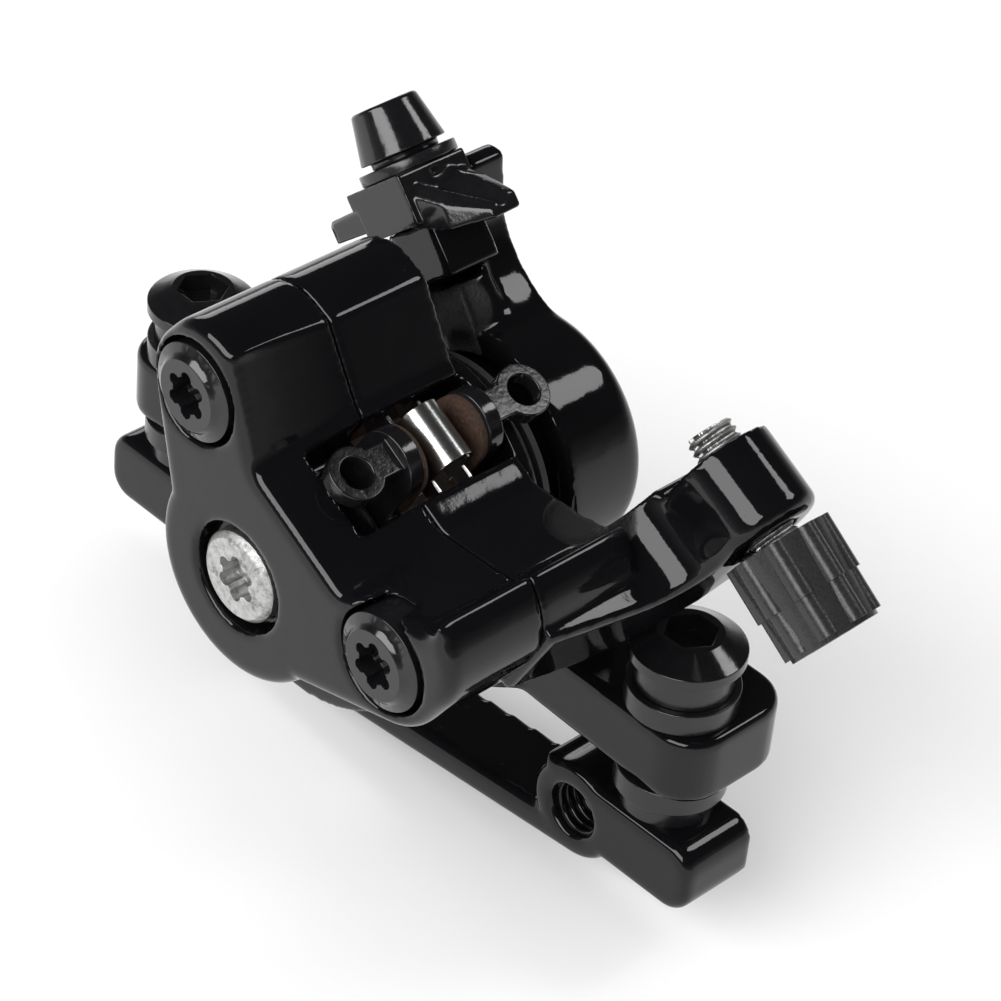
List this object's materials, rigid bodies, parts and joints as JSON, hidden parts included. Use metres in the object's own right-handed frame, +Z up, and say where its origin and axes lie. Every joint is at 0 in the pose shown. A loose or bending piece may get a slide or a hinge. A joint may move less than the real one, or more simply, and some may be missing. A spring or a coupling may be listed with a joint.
{
  "type": "bicycle disc brake caliper",
  "caption": "Mechanical disc brake caliper with a cable lever, ball-ramp drive, round pads, cable stop with barrel adjuster and a frame bracket.",
  "frame": {"origin": "axis of the upper frame hole at the bracket's frame face", "axes": "+Y leaves the bracket's frame face towards the frame; +Z runs up along the two mounting bolts; X runs from one mounting bolt to the other"},
  "size_m": [0.1015, 0.0488, 0.0746],
  "materials": {
    "bracket_paint": "gloss black paint on cast alloy",
    "housing_paint": "gloss black paint on cast alloy",
    "lever_paint": "gloss black paint on cast alloy",
    "black_bolt": "black coated steel",
    "black_washer": "rough black coated steel",
    "bright_alloy": "bright machined",
    "plain_steel": "plain machined steel",
    "ball_steel": "polished steel",
    "pad_steel": "black coated plate",
    "friction": "brown sintered friction material",
    "spring_steel": "bright spring strip",
    "seal_rubber": "matt black rubber",
    "knob_plastic": "matt black moulded plastic"
  },
  "bodies": {
    "bracket": {"adapter_bracket": "bracket_paint", "mount_bolts": "black_bolt", "upper_ball_washers": "black_washer", "upper_cup_washers": "black_washer", "lower_cup_washers": "black_washer", "lower_ball_washers": "black_washer"},
    "caliper": {"outer_housing": "housing_paint", "inner_housing": "housing_paint", "body_bolts": "black_bolt", "pad_spring": "spring_steel", "thrust_bearing": "plain_steel", "dust_boot": "seal_rubber", "return_spring": "spring_steel", "adjuster_seal": "seal_rubber"},
    "lever": {"lever_arm": "lever_paint", "drive_cam": "plain_steel", "lever_bolt": "black_bolt", "lever_washer": "black_washer", "clamp_bolt": "black_bolt", "clamp_washer": "black_washer", "clamp_plate": "black_bolt"},
    "outer_pad": {"ramp_plate": "plain_steel", "pressure_foot": "plain_steel", "outer_pad_plate": "pad_steel", "outer_pad_friction": "friction"},
    "adjuster": {"pad_adjuster": "bright_alloy"},
    "inner_pad": {"adjuster_foot": "plain_steel", "inner_pad_plate": "pad_steel", "inner_pad_friction": "friction"},
    "barrel": {"cable_barrel": "bright_alloy"},
    "knob": {"barrel_knob": "knob_plastic"},
    "ball_ring": {"cam_balls": "ball_steel"}
  },
  "joints": [
    {"name": "caliper_centring", "type": "slide", "parent": "bracket", "child": "caliper", "axis": [0, 1, 0], "range_m": [-0.0012, 0.0012]},
    {"name": "lever_pull", "type": "hinge", "parent": "caliper", "child": "lever", "pos_m": [-0.0223, -0.0195, 0.0303], "axis": [0, 1, 0], "range_deg": [0, 35], "stiffness_Nm_per_rad": 0.4, "springref_deg": -20.05},
    {"name": "ball_roll", "type": "hinge", "parent": "caliper", "child": "ball_ring", "pos_m": [-0.0223, -0.0195, 0.0303], "axis": [0, 1, 0], "range_deg": [0, 17.5]},
    {"name": "outer_pad_travel", "type": "slide", "parent": "caliper", "child": "outer_pad", "axis": [0, -1, 0], "range_m": [0, 0.0012], "stiffness_N_per_m": 300, "springref_m": -0.001},
    {"name": "pad_adjuster_turn", "type": "hinge", "parent": "caliper", "child": "adjuster", "pos_m": [-0.0223, -0.0195, 0.0303], "axis": [0, 1, 0], "range_deg": [0, 432]},
    {"name": "inner_pad_travel", "type": "slide", "parent": "caliper", "child": "inner_pad", "axis": [0, 1, 0], "range_m": [0, 0.0012], "stiffness_N_per_m": 300, "springref_m": -0.001},
    {"name": "barrel_travel", "type": "slide", "parent": "caliper", "child": "barrel", "axis": [0.8151, 0, -0.5793], "range_m": [0, 0.0032]},
    {"name": "knob_turn", "type": "hinge", "parent": "barrel", "child": "knob", "pos_m": [0.01486, -0.0025, 0.04205], "axis": [0.8151, 0, -0.5793], "range_deg": [0, 1440]}
  ],
  "couplings": [
    {"joint": "ball_roll", "follows": "lever_pull", "ratio": 0.5}
  ]
}
